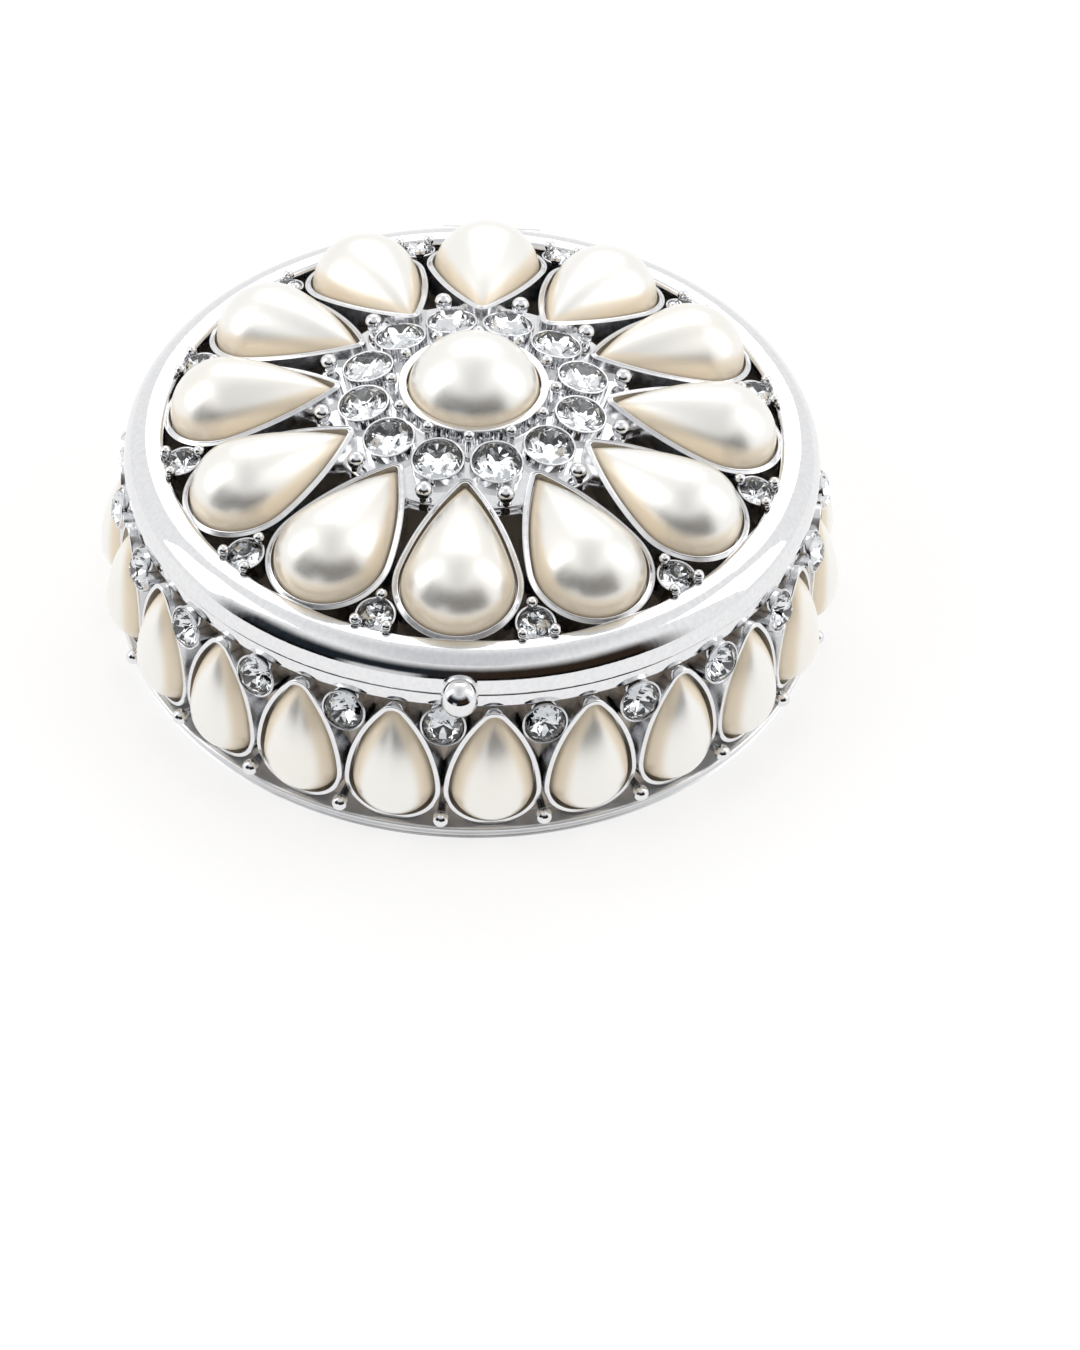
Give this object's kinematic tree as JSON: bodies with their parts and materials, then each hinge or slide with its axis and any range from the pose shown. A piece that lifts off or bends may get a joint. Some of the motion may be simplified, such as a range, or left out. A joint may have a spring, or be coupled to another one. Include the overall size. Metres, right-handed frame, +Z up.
{
  "type": "round trinket box",
  "caption": "Low round hinged trinket box of polished plated metal, its domed openwork lid and side set with drop-shaped pearls and clear crystals; a magnet and a ball knob at the front.",
  "frame": {"origin": "middle of the cup's underside, on the table", "axes": "+Z up, -Y to the front where the lift knob is, +Y to the back where the hinge is, +X to the right seen from the front"},
  "size_m": [0.0755, 0.076, 0.0325],
  "materials": {
    "plated_metal": "polished bright silver plating on cast metal",
    "pearl": "glossy ivory pearl coating",
    "crystal": "clear faceted, silvered back",
    "magnet": "satin grey",
    "steel_pin": "drawn"
  },
  "bodies": {
    "base": {"base_cup": "plated_metal", "side_pearl_bezels": "plated_metal", "side_pearl_01": "pearl", "side_pearl_02": "pearl", "side_pearl_03": "pearl", "side_pearl_04": "pearl", "side_pearl_05": "pearl", "side_pearl_06": "pearl", "side_pearl_07": "pearl", "side_pearl_08": "pearl", "side_pearl_09": "pearl", "side_pearl_10": "pearl", "side_pearl_11": "pearl", "side_pearl_12": "pearl", "side_pearl_13": "pearl", "side_pearl_14": "pearl", "side_pearl_15": "pearl", "side_pearl_16": "pearl", "side_pearl_17": "pearl", "side_pearl_18": "pearl", "side_pearl_19": "pearl", "side_pearl_20": "pearl", "side_pearl_21": "pearl", "side_pearl_22": "pearl", "side_pearl_23": "pearl", "side_crystal_cups": "plated_metal", "side_crystals": "crystal", "side_beads": "plated_metal", "magnet_post": "plated_metal", "base_magnet": "magnet", "hinge_pin": "steel_pin"},
    "lid": {"lid_rim": "plated_metal", "petal_bezels": "plated_metal", "petal_pearl_01": "pearl", "petal_pearl_02": "pearl", "petal_pearl_03": "pearl", "petal_pearl_04": "pearl", "petal_pearl_05": "pearl", "petal_pearl_06": "pearl", "petal_pearl_07": "pearl", "petal_pearl_08": "pearl", "petal_pearl_09": "pearl", "petal_pearl_10": "pearl", "petal_pearl_11": "pearl", "petal_pearl_12": "pearl", "centre_bezel": "plated_metal", "centre_pearl": "pearl", "inner_crystal_cups": "plated_metal", "inner_crystals": "crystal", "outer_crystal_cups": "plated_metal", "outer_crystals": "crystal", "petal_beads": "plated_metal", "crown_beads": "plated_metal", "lift_knob": "plated_metal", "lid_magnet": "magnet", "lid_magnet_holder": "plated_metal"}
  },
  "joints": [
    {"name": "lid_hinge", "type": "hinge", "parent": "base", "child": "lid", "pos_m": [0, 0.0353, 0.019], "axis": [-1, 0, 0], "range_deg": [0, 100]}
  ]
}
